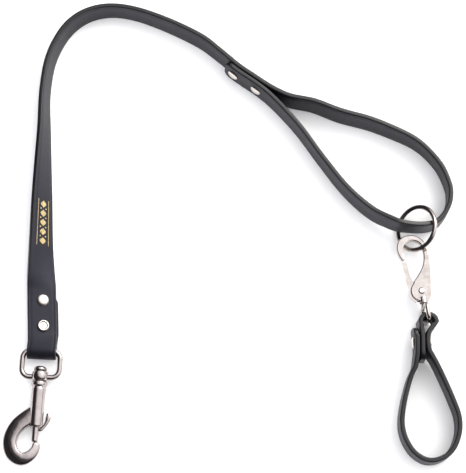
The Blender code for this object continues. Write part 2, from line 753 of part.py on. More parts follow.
def make_clip_frame(finish):
    """The hook, back and two cheeks of the clip in one, with the collar that its eye turns in."""
    place = clip_place()
    half = CLIP_THICKNESS / 2
    outline = curved(CLIP_BACK) + curved(CLIP_INSIDE) + cheek_arc(CLIP_CHEEK_RADIUS, 128, 256)
    made = plate("clip_frame", outline, -half, half, finish, place)
    ease = made.modifiers.new("ease", "BEVEL")
    ease.width = 0.0007
    ease.segments = 2
    ease.limit_method = "ANGLE"
    ease.angle_limit = math.radians(50)
    collar = swivel_bar("clip_collar", CLIP_SWIVEL_RADIUS, -CLIP_SWIVEL_END, 0.0030, 16)
    combine(made, collar, "UNION")
    slot_half = CLIP_GATE_THICKNESS / 2 + CLEARANCE
    slot = cheek_arc(CLIP_CHEEK_RADIUS + 0.004, 62, 262, 16) + [
        (CLIP_PIVOT[0] + 0.0003, CLIP_PIVOT[1] - 0.0045),
        (CLIP_PIVOT[0] + 0.0040, CLIP_PIVOT[1] - 0.0020),
        (CLIP_PIVOT[0] + 0.0045, CLIP_PIVOT[1] + 0.0020),
    ]
    combine(made, plate("gate_slot", slot, -slot_half, slot_half, None, place), "DIFFERENCE")
    pin = pin_bar("pivot_bore", CLIP_PIN_RADIUS + CLEARANCE / 2, half + 0.001, place)
    combine(made, pin, "DIFFERENCE")
    bore = swivel_bar("swivel_bore", CLIP_SHANK_RADIUS + CLEARANCE, -CLIP_SWIVEL_END - 0.0010, 0.0014, 12)
    combine(made, bore, "DIFFERENCE")
    pocket = swivel_bar("swivel_pocket", CLIP_SHANK_HEAD_RADIUS + CLEARANCE, -0.0008, 0.0014, 12)
    combine(made, pocket, "DIFFERENCE")


def pin_bar(name, radius, half, place):
    x, y = CLIP_PIVOT
    return bar_cutter(name, radius, Vector((x, y, -half)), Vector((x, y, half)), place, 14)


def gate_place():
    return clip_place() @ Matrix.Translation((*CLIP_PIVOT, 0))


def make_clip_gate(finish):
    """The sprung gate: a flat lever from the pivot, round the cheeks and up to the hook's nose."""
    px, py = CLIP_PIVOT
    outer = cheek_arc(CLIP_CHEEK_RADIUS + 0.0013, 236, 160, 8)
    outer += [(-0.0090, 0.0150), (-0.0091, 0.0210), (-0.0095, 0.0262), (-0.0094, 0.0292)]
    inner = [(-0.0066, 0.0296), (-0.0062, 0.0300 - GATE_WIDTH), (-0.0058, 0.0200), (-0.0046, 0.0150)]
    inner += cheek_arc(0.0036, 112, -100, 9)
    inner += cheek_arc(CLIP_CHEEK_RADIUS - 0.0012, 214, 236, 3)
    outline = [(x - px, y - py) for x, y in outer + inner]
    half = CLIP_GATE_THICKNESS / 2
    made = plate("clip_gate", outline, -half, half, finish, gate_place())
    reach = Vector((0, 0, 0.004))
    bore = bar_cutter("gate_bore", CLIP_PIN_RADIUS + CLEARANCE, -reach, reach, gate_place(), 14)
    combine(made, bore, "DIFFERENCE")
    floor = Vector((0, 0, -0.0001))
    pocket = bar_cutter("spring_pocket", 0.0027, floor, reach, gate_place(), 14)
    combine(made, pocket, "DIFFERENCE")


def make_gate_pin(finish):
    """The riveted pin that the gate turns on, with a low head on each side."""
    half = CLIP_THICKNESS / 2 + CLEARANCE / 2
    head, rise, r = 0.0023, 0.0006, CLIP_PIN_RADIUS
    profile = [(0, -half - rise), (0.7 * head, -half - rise), (head, -half), (r, -half), (r, half)]
    profile += [(head, half), (0.7 * head, half + rise), (0, half + rise)]
    turned("gate_pin", profile, finish, gate_place(), 16)


def make_gate_spring(finish):
    """The small coil round the pin that holds the gate shut."""
    wire = 0.0002
    radius = CLIP_PIN_RADIUS + CLEARANCE + wire + 0.0003
    path = []
    for i in range(17):
        angle = 2 * math.pi * i / 9
        path.append(Vector((radius * math.cos(angle), radius * math.sin(angle), 0.00042 + 0.00055 * i / 16)))
    bm = bmesh.new()
    tube(bm, path, wire, 5)
    add_object("gate_spring", bm, finish, gate_place())


def make_clip_eye(finish):
    """The square eye on the clip's swivel that stands round the tab's fold, with its headed shank."""
    place = clip_place()
    level = place @ Matrix.Rotation(-CLIP_PITCH, 4, "X")
    half = CLIP_EYE_INSIDE / 2 + CLIP_EYE_WIRE_RADIUS
    outline = rounded_rectangle(half, CLIP_EYE_LENGTH, CLIP_EYE_CORNER, 4)
    bm = bmesh.new()
    path = [Vector((CLIP_SWIVEL_X, y - CLIP_EYE_LEAD, x)) for x, y in outline]
    tube(bm, path, CLIP_EYE_WIRE_RADIUS, 8, closed=True, up=Vector((1, 0, 0)))
    made = add_object("clip_eye", bm, finish, level)
    shank = swivel_bar("shank_solid", CLIP_SHANK_RADIUS, -CLIP_EYE_LEAD, 0.0010, 12)
    combine(made, shank, "UNION")
    head = swivel_bar("shank_head", CLIP_SHANK_HEAD_RADIUS, -0.0005, 0.0010, 12)
    combine(made, head, "UNION")
    boss = swivel_bar("eye_boss", 0.0026, -CLIP_EYE_LEAD - 0.0008, -CLIP_SWIVEL_END - CLEARANCE, 12)
    combine(made, boss, "UNION")


def tab_bar():
    """Where the clip eye's bar stands, inside the tab's fold."""
    level = clip_place() @ Matrix.Rotation(-CLIP_PITCH, 4, "X")
    return level @ Vector((CLIP_SWIVEL_X, -CLIP_EYE_LEAD - CLIP_EYE_LENGTH, 0))


def tab_frames():
    """The tab: its tongue, the fold round the eye's bar, the finger loop and its outer end."""
    bar = tab_bar()
    radius = TAB_BIGHT_RADIUS + STRAP_THICKNESS / 2
    centre = Vector((bar.x, bar.y - TAB_BIGHT_RADIUS + CLIP_EYE_WIRE_RADIUS + CLEARANCE, 0))
    tongue = [
        (TAB_AXIS_X, TAB_TONGUE_Y, 0, TAB_LIFT * 0.8),
        (TAB_AXIS_X, TAB_RIVET_Y - TAB_STRAIGHT, 0, TAB_LIFT * 0.95),
        (TAB_AXIS_X, TAB_RIVET_Y, 0, TAB_LIFT * 0.98),
        (TAB_AXIS_X, TAB_RIVET_Y + TAB_STRAIGHT, 0, TAB_LIFT),
        (TAB_AXIS_X - 0.0010, TAB_RIVET_Y + TAB_STRAIGHT + 0.0035, 0, TAB_LIFT),
    ]
    fold = []
    for k in range(9):
        angle = math.radians(180 - 180 * k / 8)
        fold.append((centre.x + radius * math.cos(angle), centre.y + radius * math.sin(angle), 0, TAB_LIFT))
    right = TAB_AXIS_X + LAYER_STEP
    down = [
        (right + 0.0010, TAB_RIVET_Y + TAB_STRAIGHT + 0.0035, 0, TAB_LIFT),
        (right, TAB_RIVET_Y + TAB_STRAIGHT, 0, TAB_LIFT),
        (right, TAB_RIVET_Y, 0, TAB_LIFT * 0.98),
        (right, TAB_RIVET_Y - TAB_STRAIGHT, 0, TAB_LIFT * 0.95),
        (right + 0.0004, TAB_RIVET_Y - TAB_STRAIGHT - 0.0025, 0, TAB_LIFT * 0.9),
    ]
    first = smooth_line(tongue + fold, TIGHT_STEP * 1.4)
    first_frames = upright_frames(first)
    left = [
        (middle - normal * LAYER_STEP, across, normal)
        for middle, across, normal in first_frames
        if TAB_RIVET_Y - TAB_STRAIGHT - 0.0015 <= middle.y <= TAB_END_Y and middle.x < centre.x
    ]
    meet = [(middle.x, middle.y, 0, middle.z - STRAP_WIDTH / 2) for middle, across, normal in left[:2]]
    second = smooth_line([fold[-2], fold[-1]] + down + TAB_LOOP + meet, 0.0042)
    skip = min(range(len(second)), key=lambda i: math.dist(second[i][:2], fold[-1][:2]))
    stop = min(range(len(second)), key=lambda i: math.dist(second[i][:2], meet[0][:2]))
    return first_frames + upright_frames(second)[skip + 1 : stop] + left


def make_tab_strap(finish):
    frames = tab_frames()
    bar = tab_bar()
    made = strap("tab_strap", frames, finish, (bar.x, bar.y, 0))
    middle = Vector((TAB_AXIS_X, TAB_RIVET_Y, TAB_LIFT + STRAP_WIDTH / 2))
    reach = Vector((LAYER_STEP + STRAP_THICKNESS / 2 + 0.0001, 0, 0))
    rivet("tab_rivet", middle + reach, middle - reach, Vector((-1, 0, 0)), nickel_cap(), True)
    punch(made, "tab_rivet_hole", middle + reach * 1.3, middle - reach * 1.3)


def clear_scene():
    for old in list(bpy.data.objects):
        bpy.data.objects.remove(old)


def move_origin_to_base():
    """Puts the world's origin under the middle of the leash, where it lies on the floor."""
    for made in bpy.data.objects:
        made.location.x -= BASE_CENTRE[0]
        made.location.y -= BASE_CENTRE[1]


def build():
    clear_scene()
    hide = coated_strap()
    bright = nickel_plate()
    wire = spring_wire()
    make_main_strap(hide)
    make_swivel_eye(bright)
    make_swivel_stud(bright)
    make_snap_body(bright)
    make_plunger(bright)
    make_thumb_lever(bright)
    make_plunger_spring(wire)
    make_handle_ring(bright)
    make_clip_frame(bright)
    make_clip_gate(bright)
    make_gate_pin(bright)
    make_gate_spring(wire)
    make_clip_eye(bright)
    make_tab_strap(hide)
    move_origin_to_base()


build()
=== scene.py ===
import math

import bmesh
import bpy
from mathutils import Matrix, Vector


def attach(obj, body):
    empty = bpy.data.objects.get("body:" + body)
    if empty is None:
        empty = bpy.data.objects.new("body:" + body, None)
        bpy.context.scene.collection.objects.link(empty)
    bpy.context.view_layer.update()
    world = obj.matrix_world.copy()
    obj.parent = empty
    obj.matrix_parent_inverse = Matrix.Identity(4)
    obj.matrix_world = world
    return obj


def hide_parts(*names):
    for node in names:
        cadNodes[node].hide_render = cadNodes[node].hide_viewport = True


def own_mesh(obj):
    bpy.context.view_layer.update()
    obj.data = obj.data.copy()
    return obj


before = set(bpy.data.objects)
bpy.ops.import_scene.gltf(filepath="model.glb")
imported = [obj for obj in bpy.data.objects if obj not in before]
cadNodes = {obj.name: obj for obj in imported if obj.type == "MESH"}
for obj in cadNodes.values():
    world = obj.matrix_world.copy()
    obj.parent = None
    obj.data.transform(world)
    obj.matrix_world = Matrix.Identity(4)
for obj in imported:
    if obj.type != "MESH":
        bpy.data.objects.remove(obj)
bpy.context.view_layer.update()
print("frame loaded,", len(cadNodes), "nodes")

mm = 0.001


# small helpers for colour, nodes and meshes

def linearColour(hexColour, alpha=1.0):
    channels = []
    for start in (1, 3, 5):
        value = int(hexColour[start:start + 2], 16) / 255
        channels.append(value / 12.92 if value <= 0.04045 else ((value + 0.055) / 1.055) ** 2.4)
    return (*channels, alpha)


# settings fills properties or sockets by name, links joins sockets to other nodes' outputs
def addNode(tree, kind, settings=None, links=None):
    node = tree.nodes.new(kind)
    for key, value in (settings or {}).items():
        if hasattr(node, key):
            setattr(node, key, value)
        else:
            node.inputs[key].default_value = value
    for key, source in (links or {}).items():
        tree.links.new(source, node.inputs[key])
    return node


def rampBetween(tree, source, stops):
    ramp = addNode(tree, "ShaderNodeValToRGB", links={"Fac": source})
    ramp.color_ramp.elements[0].position, ramp.color_ramp.elements[0].color = stops[0]
    ramp.color_ramp.elements[1].position, ramp.color_ramp.elements[1].color = stops[-1]
    for position, colour in stops[1:-1]:
        ramp.color_ramp.elements.new(position).color = colour
    return ramp.outputs["Color"]


def newMaterial(name):
    made = bpy.data.materials.new(name)
    made.use_nodes = True
    return made, made.node_tree, made.node_tree.nodes["Principled BSDF"]


def meshPiece(name, bm, materials, place=None, sharpAngle=40):
    bmesh.ops.recalc_face_normals(bm, faces=bm.faces)
    mesh = bpy.data.meshes.new(name)
    bm.to_mesh(mesh)
    bm.free()
    mesh.shade_smooth()
    mesh.set_sharp_from_angle(angle=math.radians(sharpAngle))
    for each in materials:
        mesh.materials.append(each)
    piece = bpy.data.objects.new(name, mesh)
    bpy.context.scene.collection.objects.link(piece)
    if place:
        piece.matrix_world = place
    return piece


# even stations on a Catmull-Rom curve; every value of a point is smoothed, lean and lift too
def splinePoints(points, step):
    padded = [points[0]] + list(points) + [points[-1]]
    fine = []
    for a, b, c, d in zip(padded, padded[1:], padded[2:], padded[3:]):
        for i in range(24):
            t = i / 24
            fine.append(tuple(
                0.5 * (2 * q + (r - p) * t + (2 * p - 5 * q + 4 * r - s) * t**2)
                + 0.5 * (3 * q - p - 3 * r + s) * t**3
                for p, q, r, s in zip(a, b, c, d)))
    fine.append(tuple(points[-1]))
    travelled = [0.0]
    for p, q in zip(fine, fine[1:]):
        travelled.append(travelled[-1] + math.dist(p[:2], q[:2]))
    count = max(2, round(travelled[-1] / step))
    stations = []
    k = 0
    for i in range(count + 1):
        want = travelled[-1] * i / count
        while k < len(travelled) - 2 and travelled[k + 1] < want:
            k += 1
        t = (want - travelled[k]) / max(travelled[k + 1] - travelled[k], 1e-9)
        stations.append(tuple(p + (q - p) * min(t, 1) for p, q in zip(fine[k], fine[k + 1])))
    return stations


# a tube along a path; with depth it is an oval, that deep along up, and ridge leans its crest to one side
def sweepTube(bm, path, radii, sides=32, closed=False, up=Vector((0, 0, 1)), depth=None, ridge=0.0):
    loops = []
    for i, point in enumerate(path):
        before = path[i - 1] if closed or i else path[0]
        after = path[(i + 1) % len(path)] if closed or i < len(path) - 1 else path[-1]
        run = (after - before).normalized()
        side = up.cross(run).normalized()
        over = run.cross(side)
        radius = radii[i] if isinstance(radii, list) else radii
        tall = depth * min(1, radius / max(radii)) ** 0.7 if depth else radius
        loops.append([
            bm.verts.new(point + side * radius * (math.cos(angle) + ridge * abs(math.sin(angle)) ** 1.5)
                         + over * tall * math.sin(angle))
            for angle in (2 * math.pi * k / sides for k in range(sides))])
    pairs = list(zip(loops, loops[1:])) + ([(loops[-1], loops[0])] if closed else [])
    for a, b in pairs:
        for k in range(sides):
            bm.faces.new((a[k], a[(k + 1) % sides], b[(k + 1) % sides], b[k]))
    if not closed:
        for loop, sign, point in ((loops[0], -1, path[0]), (loops[-1], 1, path[-1])):
            run = (path[1] - path[0] if sign < 0 else path[-1] - path[-2]).normalized()
            shrunk = loop
            for share, rise in ((0.85, 0.45), (0.5, 0.8), (0.15, 0.95)):   # rounded end
                reach = (loop[0].co - point).length
                ring = [bm.verts.new(point + (v.co - point) * share + run * sign * reach * rise * 0.55) for v in loop]
                for k in range(sides):
                    bm.faces.new((shrunk[k], shrunk[(k + 1) % sides], ring[(k + 1) % sides], ring[k]))
                shrunk = ring
            bm.faces.new(shrunk)
    return bm


# spins (radius, height) points round Z; radius 0 closes the end
def spinProfile(bm, profile, place=Matrix.Identity(4), sides=64):
    loops = []
    for radius, height in profile:
        count = 1 if radius == 0 else sides
        loops.append([
            bm.verts.new(place @ Vector((
                radius * math.cos(2 * math.pi * k / sides), radius * math.sin(2 * math.pi * k / sides), height)))
            for k in range(count)])
    pairs = list(zip(loops, loops[1:])) + ([(loops[-1], loops[0])] if profile[0][0] else [])
    for a, b in pairs:
        for k in range(sides):
            j = (k + 1) % sides
            if len(a) == 1 and len(b) == 1:
                continue
            if len(a) == 1:
                bm.faces.new((a[0], b[j], b[k]))
            elif len(b) == 1:
                bm.faces.new((a[k], a[j], b[0]))
            else:
                bm.faces.new((a[k], a[j], b[j], b[k]))
    return bm


# rounds the corners of a spun profile, except its first and last point
def roundedProfile(profile, radius, steps=4):
    rounded = [profile[0]]
    for before, corner, after in zip(profile, profile[1:], profile[2:]):
        middle = Vector(corner)
        back, forth = Vector(before) - middle, Vector(after) - middle
        cut = min(radius, back.length * 0.45, forth.length * 0.45)
        start, end = middle + back.normalized() * cut, middle + forth.normalized() * cut
        for k in range(steps + 1):
            t = k / steps
            point = start * (1 - t) ** 2 + middle * 2 * t * (1 - t) + end * t**2
            rounded.append((max(point.x, 0), point.y))
    rounded.append(profile[-1])
    return rounded


# materials

# split leather under a rolled polyurethane film, pressed with a fine pebble while warm:
# the film gives a soft, slightly blue sheen and the pebble breaks it up into tiny dimples
def makeCoatedLeatherette():
    made, tree, shader = newMaterial("coatedLeatherettePressedGrain")
    coords = addNode(tree, "ShaderNodeTexCoord").outputs["Object"]
    patches = addNode(tree, "ShaderNodeTexNoise", {"Scale": 38.0, "Detail": 4.0, "Roughness": 0.6},
                      {"Vector": coords})
    # real pebbles are about 0.4 mm, drawn at 0.8 mm so that they show
    pebbles = addNode(tree, "ShaderNodeTexVoronoi", {"Scale": 1250.0, "Randomness": 0.9}, {"Vector": coords})
    wrinkles = addNode(tree, "ShaderNodeTexNoise", {"Scale": 420.0, "Detail": 5.0, "Roughness": 0.65},
                       {"Vector": coords})
    colour = rampBetween(tree, patches.outputs["Fac"], [
        (0.30, linearColour("#07070D")), (0.55, linearColour("#0A0A10")), (0.75, linearColour("#0F0F17"))])
    tree.links.new(colour, shader.inputs["Base Color"])
    gloss = addNode(tree, "ShaderNodeMapRange", {"To Min": 0.46, "To Max": 0.62},
                    {"Value": wrinkles.outputs["Fac"]})
    tree.links.new(gloss.outputs["Result"], shader.inputs["Roughness"])
    grain = addNode(tree, "ShaderNodeBump", {"Strength": 0.22, "Distance": 0.0001},
                    {"Height": pebbles.outputs["Distance"]})
    folds = addNode(tree, "ShaderNodeBump", {"Strength": 0.30, "Distance": 0.0002},
                    {"Height": wrinkles.outputs["Fac"], "Normal": grain.outputs["Normal"]})
    tree.links.new(folds.outputs["Normal"], shader.inputs["Normal"])
    shader.inputs["Specular Tint"].default_value = linearColour("#CFCFE4")
    shader.inputs["Coat Weight"].default_value = 0.08
    shader.inputs["Coat Roughness"].default_value = 0.40
    shader.inputs["IOR"].default_value = 1.5
    return made


# cut edge sealed with black edge paint, laid on with a roller: smoother and shinier than the face, with drag lines
def makeEdgePaint():
    made, tree, shader = newMaterial("rolledEdgePaint")
    coords = addNode(tree, "ShaderNodeUVMap").outputs["UV"]
    stretch = addNode(tree, "ShaderNodeMapping", {"Scale": (1800.0, 120.0, 1.0)}, {"Vector": coords})
    drag = addNode(tree, "ShaderNodeTexNoise", {"Scale": 1.0, "Detail": 3.0}, {"Vector": stretch.outputs["Vector"]})
    colour = rampBetween(tree, drag.outputs["Fac"], [(0.3, linearColour("#070709")), (0.7, linearColour("#0D0D10"))])
    tree.links.new(colour, shader.inputs["Base Color"])
    gloss = addNode(tree, "ShaderNodeMapRange", {"To Min": 0.24, "To Max": 0.40}, {"Value": drag.outputs["Fac"]})
    tree.links.new(gloss.outputs["Result"], shader.inputs["Roughness"])
    lines = addNode(tree, "ShaderNodeBump", {"Strength": 0.25, "Distance": 0.0001}, {"Height": drag.outputs["Fac"]})
    tree.links.new(lines.outputs["Normal"], shader.inputs["Normal"])
    shader.inputs["IOR"].default_value = 1.5
    return made


# hot-stamped foil: a thin metal film that breaks up where the die missed the low grain, so black specks show
def makeGoldFoil():
    made, tree, shader = newMaterial("hotStampedGoldFoil")
    coords = addNode(tree, "ShaderNodeTexCoord").outputs["Object"]
    specks = addNode(tree, "ShaderNodeTexNoise", {"Scale": 1500.0, "Detail": 2.0}, {"Vector": coords})
    cover = rampBetween(tree, specks.outputs["Fac"], [(0.34, (0, 0, 0, 1)), (0.44, (1, 1, 1, 1))])
    colour = addNode(tree, "ShaderNodeMix", {"data_type": "RGBA"}, {})
    colour.inputs[6].default_value = linearColour("#4A4334")
    colour.inputs[7].default_value = linearColour("#D6C08C")
    tree.links.new(cover, colour.inputs[0])
    tree.links.new(colour.outputs[2], shader.inputs["Base Color"])
    tree.links.new(cover, shader.inputs["Metallic"])
    gloss = addNode(tree, "ShaderNodeMapRange", {"To Min": 0.30, "To Max": 0.44}, {"Value": specks.outputs["Fac"]})
    tree.links.new(gloss.outputs["Result"], shader.inputs["Roughness"])
    dents = addNode(tree, "ShaderNodeBump", {"Strength": 0.2, "Distance": 0.0001}, {"Height": specks.outputs["Fac"]})
    tree.links.new(dents.outputs["Normal"], shader.inputs["Normal"])
    return made


# plated or bare metal: haze from polishing varies the shine, swells bend the reflections, scuffs break them up
def makeNickel(name, light, dark, roughLow, roughHigh, waviness):
    made, tree, shader = newMaterial(name)
    coords = addNode(tree, "ShaderNodeTexCoord").outputs["Object"]
    haze = addNode(tree, "ShaderNodeTexNoise", {"Scale": 160.0, "Detail": 5.0, "Roughness": 0.6},
                   {"Vector": coords})
    swells = addNode(tree, "ShaderNodeTexNoise", {"Scale": 210.0, "Detail": 1.0}, {"Vector": coords})
    scuffs = addNode(tree, "ShaderNodeTexNoise", {"Scale": 2600.0, "Detail": 2.0}, {"Vector": coords})
    colour = rampBetween(tree, haze.outputs["Fac"], [(0.3, linearColour(dark)), (0.7, linearColour(light))])
    tree.links.new(colour, shader.inputs["Base Color"])
    spread = {"From Min": 0.3, "From Max": 0.7, "To Min": roughLow, "To Max": roughHigh}
    gloss = addNode(tree, "ShaderNodeMapRange", spread, {"Value": haze.outputs["Fac"]})
    tree.links.new(gloss.outputs["Result"], shader.inputs["Roughness"])
    wavy = addNode(tree, "ShaderNodeBump", {"Strength": waviness, "Distance": 0.0004},
                   {"Height": swells.outputs["Fac"]})
    fine = addNode(tree, "ShaderNodeBump", {"Strength": 0.05, "Distance": 0.00005},
                   {"Height": scuffs.outputs["Fac"], "Normal": wavy.outputs["Normal"]})
    tree.links.new(fine.outputs["Normal"], shader.inputs["Normal"])
    shader.inputs["Metallic"].default_value = 1.0
    return made


leatherette = makeCoatedLeatherette()
edgePaint = makeEdgePaint()
goldFoil = makeGoldFoil()
# die-cast zinc, tumbled then bright nickel plated: mirror-like, with soft swells that bend the reflections
castNickel = makeNickel("tumbledBrightNickel", "#B4ADAB", "#9A9290", 0.06, 0.15, 0.25)
# the clip's stamped and cast parts: the snap's nickel plating with a painted reflection, its colour made brighter to
# stand in for the bright tent its flat plates reflect; a slightly flatter mirror than the snap
clipNickelPaintedReflection = makeNickel("platedNickelPaintedBrighterForClip", "#C4BDBA", "#A9A29E", 0.05, 0.13, 0.22)
# welded steel wire, nickel plated: cleaner mirror with a slightly warm tone
wireNickel = makeNickel("platedSteelWire", "#BAB3B0", "#A49C98", 0.05, 0.12, 0.08)
# rivet caps drawn from sheet, then plated: a little duller on the dome
drawnNickel = makeNickel("drawnNickelCap", "#DCD6D0", "#CCC5BD", 0.20, 0.30, 0.04)
# oil-tempered spring wire, left bare: grey, low shine
springSteel = makeNickel("bareSpringSteel", "#A8A7A6", "#858484", 0.28, 0.40, 0.10)
print("materials made")


# the strap: one long piece from the snap, over the bend, round the grip loop and back

strap = {
    "width": 20 * mm,
    "thickness": 3.3 * mm,
    "edgeRound": 0.9 * mm,        # how far the cut edges are rounded over
    "creaseInset": 1.9 * mm,      # heated crease line, measured in from each edge
    "creaseWidth": 0.7 * mm,
    "creaseDepth": 0.10 * mm,
    "layerStep": 3.6 * mm,        # from one riveted layer to the next
    "tipRadius": 5 * mm,
    "station": 1.5 * mm,
}
base = Vector((0.0006, -0.0034, 0))   # from the route's numbers to the floor under the middle

capHeight = 1.3 * mm
foldRadius = 4.35 * mm
snapHeight = 6.4 * mm
rivetLift = strap["layerStep"] + capHeight / 2
foldLift = snapHeight + foldRadius - strap["thickness"] / 2
ringUnderpass = 4.6 * mm

# x, y, lean in degrees from standing on edge, lift of the lower edge
snapRun = [
    (-0.1311, -0.0767, 84, (foldLift + rivetLift) / 2), (-0.1314, -0.0710, 76, rivetLift),
    (-0.1317, -0.0630, 76, rivetLift), (-0.1321, -0.0550, 76, rivetLift), (-0.1324, -0.0470, 76, rivetLift),
    (-0.1327, -0.0400, 75, rivetLift), (-0.1332, -0.0290, 61, 0.0032), (-0.1338, -0.0095, 45, 0.0014),
    (-0.1341, 0.0240, 34, 0.0006), (-0.1341, 0.0500, 24, 0.0002), (-0.1340, 0.0750, 15, 0.0001),
    (-0.1342, 0.1020, 9, 0.0), (-0.1315, 0.1246, 7, 0.0), (-0.1255, 0.1410, 6, 0.0), (-0.1165, 0.1540, 5, 0.0),
    (-0.1040, 0.1625, 3, 0.0), (-0.0883, 0.1658, 2, 0.0), (-0.0700, 0.1632, 3, 0.0), (-0.0470, 0.1546, 5, 0.0),
    (-0.0236, 0.1426, 6, 0.0), (-0.0100, 0.1320, 5, 0.0), (0.0034, 0.1205, 4, 0.0), (0.0150, 0.1122, 4, 0.0),
    (0.0265, 0.1040, 4, 0.0)]
gripLoop = [
    (0.0400, 0.0975, 5, 0.0), (0.0575, 0.0935, 6, 0.0), (0.0760, 0.0862, 7, 0.0), (0.0980, 0.0798, 6, 0.0),
    (0.1183, 0.0712, 4, 0.0), (0.1290, 0.0653, 2, 0.0), (0.1376, 0.0577, 0, 0.0), (0.1460, 0.0468, 0, 0.0),
    (0.1510, 0.0345, 0, 0.0), (0.1520, 0.0265, 0, 0.0), (0.1504, 0.0183, 0, 0.0), (0.1455, 0.0100, 0, 0.0),
    (0.1392, 0.0052, -1, 0.0004), (0.1290, 0.0034, -2, ringUnderpass * 0.5), (0.1170, 0.0040, -4, ringUnderpass),
    (0.1096, 0.0068, -6, ringUnderpass * 0.85), (0.0960, 0.0147, -6, ringUnderpass * 0.4),
    (0.0790, 0.0310, -4, 0.0008), (0.0625, 0.0530, -3, 0.0), (0.0480, 0.0738, -3, 0.0), (0.0362, 0.0880, -3, 0.0)]
gripJointX = (-0.0025, 0.0262)
gripRivetsX = (0.0034, 0.0192)
snapRivetsY = (-0.0655, -0.0480)
tailEndY = -0.0435
tailShift = 1.8 * mm


def smoothStep(t):
    t = min(max(t, 0), 1)
    return t * t * (3 - 2 * t)


# (centre, width direction, thickness direction) of a strap standing on its edge with a lean
def uprightFrames(stations):
    frames = []
    last = len(stations) - 1
    for i, (x, y, lean, lift) in enumerate(stations):
        before, after = stations[max(i - 1, 0)], stations[min(i + 1, last)]
        run = Vector((after[0] - before[0], after[1] - before[1], 0)).normalized()
        tilt = math.radians(lean)
        across = Vector((0, 0, 1)) * math.cos(tilt) + Vector((-run.y, run.x, 0)) * math.sin(tilt)
        half = strap["width"] / 2 * abs(math.cos(tilt)) + strap["thickness"] / 2 * abs(math.sin(tilt))
        frames.append((Vector((x, y, half + lift)), across, run.cross(across)))
    return frames


# a stiff strap leaves its riveted stretch in a long bend, so the corners near these spots are worn down
def easeCorners(frames, spots, reach, times):
    for _ in range(times):
        eased = [frames[0]]
        for before, here, after in zip(frames, frames[1:], frames[2:]):
            away = min((here[0].xy - spot.xy).length for spot in spots)
            centre = here[0].lerp((before[0] + after[0]) / 2, max(0.0, 1 - away / reach))
            run = (after[0] - before[0]).normalized()
            across = (here[1] - run * here[1].dot(run)).normalized() if away < reach else here[1]
            eased.append((centre, across, run.cross(across) if away < reach else here[2]))
        frames = eased + [frames[-1]]
    return frames


def nearestFrame(frames, key, value):
    return min(frames, key=lambda f: abs(f[0][key] - value))


snapPlace = Matrix.Translation((-0.1314, -0.0827, snapHeight)) @ Matrix.Rotation(math.radians(-3), 4, "Z")


def mainStrapFrames():
    start = snapPlace @ Vector((0, 0.0005, 0))
    run = splinePoints([(start.x, start.y, 90, foldLift)] + snapRun, strap["station"])
    runFrames = uprightFrames(run)
    joint = [f for f in runFrames if gripJointX[0] <= f[0].x <= gripJointX[1]]
    back = [(c + n * strap["layerStep"], a, -n) for c, a, n in joint][::-1]
    end, lean, follow = back[0][0], run[-1][2], back[3][0]
    begin = run[-1]
    loopPoints = [run[-4], begin] + gripLoop + [(end.x, end.y, -lean, 0.0), (follow.x, follow.y, -lean, 0.0)]
    loop = splinePoints(loopPoints, strap["station"])
    loopFrames = uprightFrames(loop)
    nearStart = min(range(len(loop)), key=lambda i: math.dist(loop[i][:2], begin[:2]))
    nearEnd = min(range(len(loop)), key=lambda i: math.dist(loop[i][:2], (end.x, end.y)))
    down = snapPlace.to_3x3() @ Vector((0, -1, 0))
    side = snapPlace.to_3x3() @ Vector((-1, 0, 0))
    up = Vector((0, 0, 1))
    fold = []
    for k in range(1, 20):
        angle = math.radians(-90 + 9 * k)
        out = down * math.cos(angle) + up * math.sin(angle)
        turn = up * math.cos(angle) - down * math.sin(angle)
        fold.append((snapPlace.translation + out * foldRadius, side, turn.cross(side)))
    tail = []
    bar = snapPlace.translation
    for centre, across, normal in runFrames:
        away = (centre.xy - bar.xy).length
        if centre.y > tailEndY:
            break
        gap = 2 * foldRadius + (strap["layerStep"] - 2 * foldRadius) * smoothStep(away / 0.013)
        shift = tailShift * smoothStep((away - 0.003) / 0.009)
        tail.append((centre - normal * gap - across * shift, across, -normal))
    whole = tail[::-1] + fold + runFrames + loopFrames[nearStart + 1:nearEnd] + back
    return easeCorners(whole, [end], 16 * mm, 24), runFrames


def tipShare(distance):
    if distance >= strap["tipRadius"]:
        return 1.0
    radius = strap["tipRadius"]
    return 1 - 2 * (radius - math.sqrt(radius**2 - (radius - distance) ** 2)) / strap["width"]


def roundTip(frames):
    centre, across, normal = frames[0]
    heading = (frames[1][0] - centre).normalized()
    tip = []
    for k in range(10):
        distance = strap["tipRadius"] * (1 - math.cos(math.pi / 2 * k / 9))
        tip.append((centre + heading * distance, across * tipShare(distance), normal))
    return tip + [f for f in frames[1:] if (f[0] - centre).length > strap["tipRadius"] * 1.1]


# the section from one edge's middle over the face to the other edge, then mirrored for the underside
def strapSection():
    w, t, r = strap["width"] / 2, strap["thickness"] / 2, strap["edgeRound"]
    inset, wide, deep = strap["creaseInset"], strap["creaseWidth"], strap["creaseDepth"]
    rounded = [(w - r + r * math.cos(a), t - r + r * math.sin(a)) for a in (math.pi / 2 * k / 5 for k in range(6))]
    crease = [(w - inset + wide / 2, t), (w - inset + wide / 5, t - deep * 0.8), (w - inset, t - deep),
              (w - inset - wide / 5, t - deep * 0.8), (w - inset - wide / 2, t)]
    flat = [(w * share, t) for share in (0.6, 0.3)]
    right = [(w, 0)] + rounded + crease + flat
    top = right + [(0, t)] + [(-a, b) for a, b in right[::-1]]
    return top + [(a, -b) for a, b in top[::-1][1:-1]]


